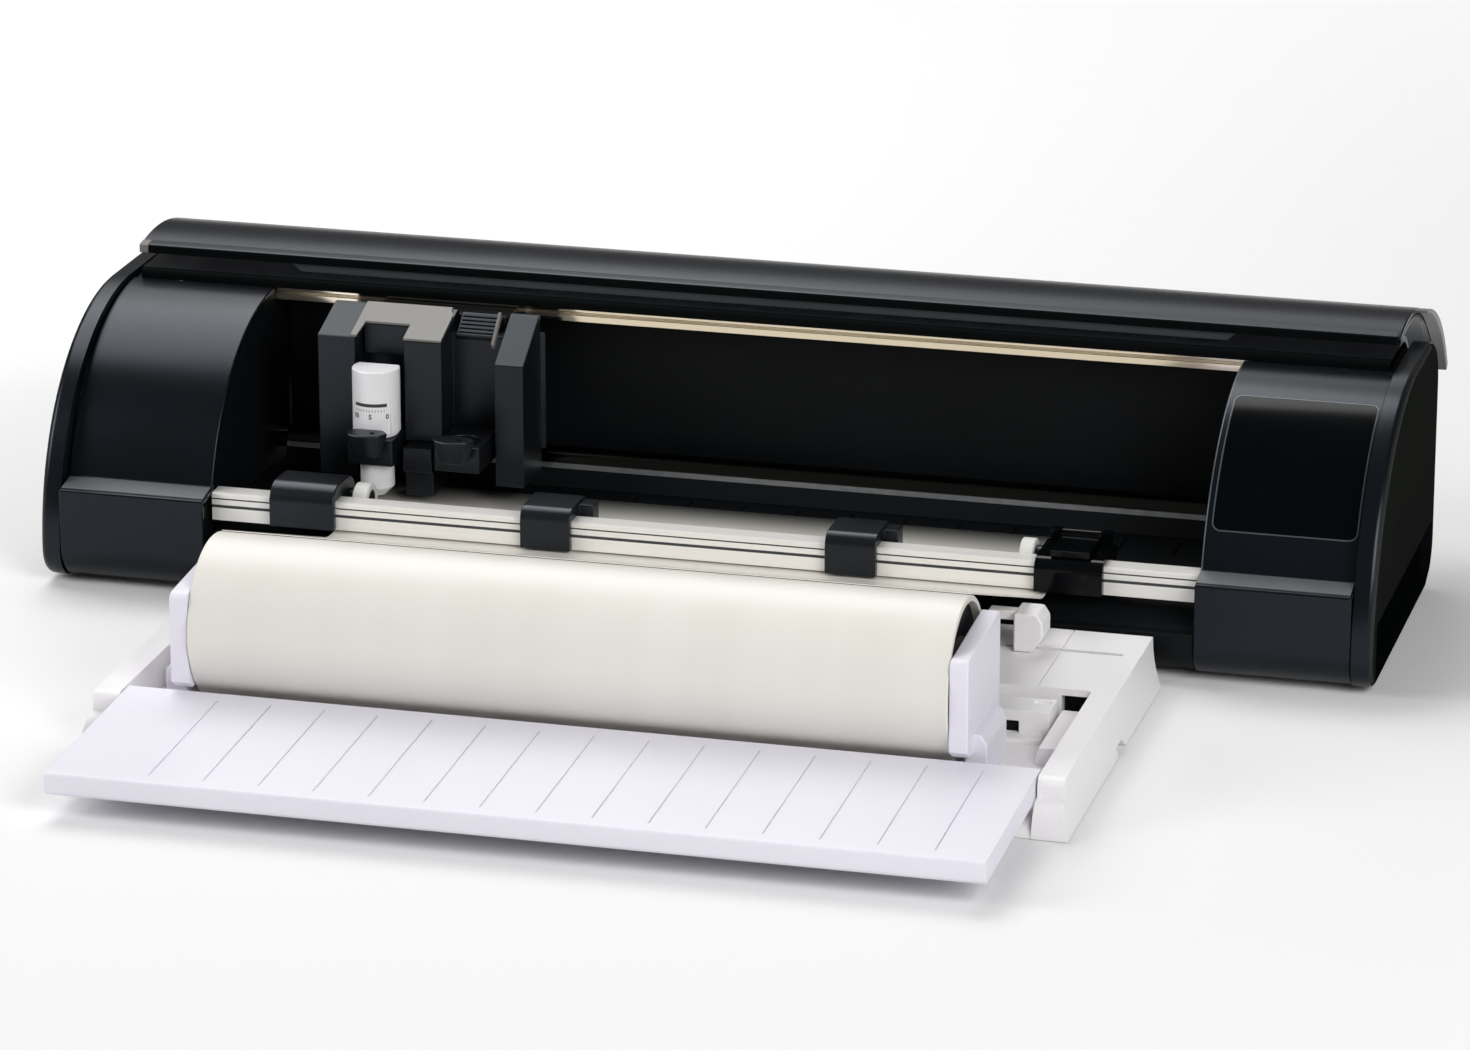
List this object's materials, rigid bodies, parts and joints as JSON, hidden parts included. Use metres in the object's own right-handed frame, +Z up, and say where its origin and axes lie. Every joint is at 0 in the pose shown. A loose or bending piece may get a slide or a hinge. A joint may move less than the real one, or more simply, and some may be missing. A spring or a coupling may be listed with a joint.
{
  "type": "desktop cutting plotter",
  "caption": "Desktop cutting plotter with a roll-top lid standing open, a two-bay tool carriage on a rail, pinch wheels on a front bar and a docked roll feeder with a folding flap.",
  "frame": {"origin": "middle of the footprint of machine and feeder together, on the table", "axes": "+X to the operator's right along the machine, +Y to the back, +Z up"},
  "size_m": [0.7, 0.5724, 0.1525],
  "materials": {
    "gloss_black": "glossy moulded black",
    "satin_black": "satin moulded black",
    "charcoal": "fine moulded grain",
    "warm_grey": "printed plate, plain",
    "aluminium": "extruded, satin anodised",
    "steel": "ground",
    "rubber": "matte",
    "white": "fine satin",
    "media": "smooth coated sheet",
    "core_board": "matte board"
  },
  "bodies": {
    "machine": {"left_end_panel": "gloss_black", "right_end_panel": "gloss_black", "left_side_frame": "satin_black", "right_side_frame": "satin_black", "left_bulkhead": "satin_black", "right_bulkhead": "satin_black", "left_cover": "gloss_black", "right_cover": "gloss_black", "touch_panel": "gloss_black", "rear_cover": "gloss_black", "power_jack": "satin_black", "data_port": "satin_black", "base_tray": "satin_black", "front_apron": "gloss_black", "back_wall": "satin_black", "platen": "satin_black", "cutting_strip": "warm_grey", "front_bar": "aluminium", "carriage_rail": "aluminium", "feed_motor": "steel", "carriage_motor": "steel", "idler_bracket": "steel", "carriage_belt": "rubber", "left_pinch_housing": "gloss_black", "feeder_base": "white", "guide_rail": "white", "media_web": "media"},
    "lid": {"lid_shell": "gloss_black", "lid_grip": "gloss_black", "lid_left_rim": "gloss_black", "lid_right_rim": "gloss_black"},
    "carriage": {"carriage_body": "charcoal", "label_plate": "warm_grey", "sensor_housing": "satin_black"},
    "tool_lift_1": {"tool_holder_1": "satin_black"},
    "tool_lift_2": {"tool_holder_2": "satin_black"},
    "tool": {"tool_body": "white"},
    "depth_setting": {"depth_cap": "white"},
    "lock_1": {"lock_tab_1": "gloss_black"},
    "lock_2": {"lock_tab_2": "gloss_black"},
    "drive_roller": {"drive_roller": "steel", "drive_gear": "satin_black"},
    "feed_pinion": {"feed_pinion": "steel"},
    "exit_roller": {"rear_roller": "steel"},
    "belt_drive_pulley": {"belt_drive_pulley": "steel"},
    "belt_idler_pulley": {"belt_idler_pulley": "steel"},
    "left_pinch_wheel": {"left_pinch_wheel": "white"},
    "right_pinch": {"right_pinch_housing": "gloss_black"},
    "right_pinch_wheel": {"right_pinch_wheel": "white"},
    "pinch_lever": {"pinch_lever": "gloss_black"},
    "clip_1": {"media_clip_1": "gloss_black"},
    "clip_2": {"media_clip_2": "gloss_black"},
    "flap": {"feeder_flap": "white"},
    "media_roll": {"media_roll": "media", "roll_core": "core_board"},
    "left_guide": {"left_roll_guide": "white"},
    "right_guide": {"right_roll_guide": "white"},
    "cross_cutter": {"cross_cutter": "white"}
  },
  "joints": [
    {"name": "lid_turn", "type": "hinge", "parent": "machine", "child": "lid", "pos_m": [0, 0.18212, 0.0011], "axis": [-1, 0, 0], "range_deg": [-56, 0]},
    {"name": "carriage_slide", "type": "slide", "parent": "machine", "child": "carriage", "axis": [1, 0, 0], "range_m": [-0.03, 0.36]},
    {"name": "tool_press_1", "type": "slide", "parent": "carriage", "child": "tool_lift_1", "axis": [0, 0, 1], "range_m": [-0.002, 0], "stiffness_N_per_m": 1500, "springref_m": 0.001},
    {"name": "tool_press_2", "type": "slide", "parent": "carriage", "child": "tool_lift_2", "axis": [0, 0, 1], "range_m": [-0.002, 0], "stiffness_N_per_m": 1500, "springref_m": 0.001},
    {"name": "tool_lift_out", "type": "slide", "parent": "tool_lift_1", "child": "tool", "axis": [0, 0, 1], "range_m": [0, 0.045]},
    {"name": "depth_turn", "type": "hinge", "parent": "tool", "child": "depth_setting", "pos_m": [-0.18815, 0.10682, 0.094], "axis": [0, 0, 1], "range_deg": [-150, 150]},
    {"name": "lock_slide_1", "type": "slide", "parent": "tool_lift_1", "child": "lock_1", "axis": [0, 1, 0], "range_m": [-0.006, 0]},
    {"name": "lock_slide_2", "type": "slide", "parent": "tool_lift_2", "child": "lock_2", "axis": [0, 1, 0], "range_m": [-0.006, 0]},
    {"name": "drive_roller_spin", "type": "hinge", "parent": "machine", "child": "drive_roller", "pos_m": [0, 0.07182, 0.02765], "axis": [1, 0, 0], "continuous": true},
    {"name": "pinion_spin", "type": "hinge", "parent": "machine", "child": "feed_pinion", "pos_m": [0.2733, 0.09612, 0.02765], "axis": [1, 0, 0], "continuous": true},
    {"name": "exit_roller_spin", "type": "hinge", "parent": "machine", "child": "exit_roller", "pos_m": [0, 0.16682, 0.04685], "axis": [1, 0, 0], "continuous": true},
    {"name": "belt_drive_spin", "type": "hinge", "parent": "machine", "child": "belt_drive_pulley", "pos_m": [-0.28645, 0.17682, 0.13], "axis": [0, 0, 1], "continuous": true},
    {"name": "belt_idler_spin", "type": "hinge", "parent": "machine", "child": "belt_idler_pulley", "pos_m": [0.28645, 0.17682, 0.13], "axis": [0, 0, 1], "continuous": true},
    {"name": "left_pinch_spin", "type": "hinge", "parent": "machine", "child": "left_pinch_wheel", "pos_m": [-0.1875, 0.07162, 0.04795], "axis": [1, 0, 0], "continuous": true},
    {"name": "right_pinch_slide", "type": "slide", "parent": "machine", "child": "right_pinch", "axis": [1, 0, 0], "range_m": [-0.06, 0.04]},
    {"name": "right_pinch_spin", "type": "hinge", "parent": "right_pinch", "child": "right_pinch_wheel", "pos_m": [0.172, 0.07162, 0.04795], "axis": [1, 0, 0], "continuous": true},
    {"name": "pinch_release", "type": "hinge", "parent": "right_pinch", "child": "pinch_lever", "pos_m": [0.194, 0.07832, 0.0596], "axis": [-1, 0, 0], "range_deg": [0, 65]},
    {"name": "clip_slide_1", "type": "slide", "parent": "machine", "child": "clip_1", "axis": [1, 0, 0], "range_m": [-0.08, 0.06]},
    {"name": "clip_slide_2", "type": "slide", "parent": "machine", "child": "clip_2", "axis": [1, 0, 0], "range_m": [-0.06, 0.06]},
    {"name": "flap_fold", "type": "hinge", "parent": "machine", "child": "flap", "pos_m": [0, -0.17218, 0.0185], "axis": [-1, 0, 0], "range_deg": [0, 35]},
    {"name": "roll_unwind", "type": "hinge", "parent": "machine", "child": "media_roll", "pos_m": [-0.0056, -0.13518, 0.055], "axis": [1, 0, 0], "continuous": true},
    {"name": "left_guide_slide", "type": "slide", "parent": "machine", "child": "left_guide", "axis": [1, 0, 0], "range_m": [-0.008, 0]},
    {"name": "right_guide_slide", "type": "slide", "parent": "machine", "child": "right_guide", "axis": [1, 0, 0], "range_m": [0, 0.0195]},
    {"name": "cutter_slide", "type": "slide", "parent": "machine", "child": "cross_cutter", "axis": [1, 0, 0], "range_m": [-0.365, 0.038]}
  ],
  "couplings": [
    {"joint": "pinion_spin", "follows": "drive_roller_spin", "ratio": -3},
    {"joint": "belt_drive_spin", "follows": "carriage_slide", "rad_per_m": 208.33},
    {"joint": "belt_idler_spin", "follows": "carriage_slide", "rad_per_m": 208.33}
  ]
}
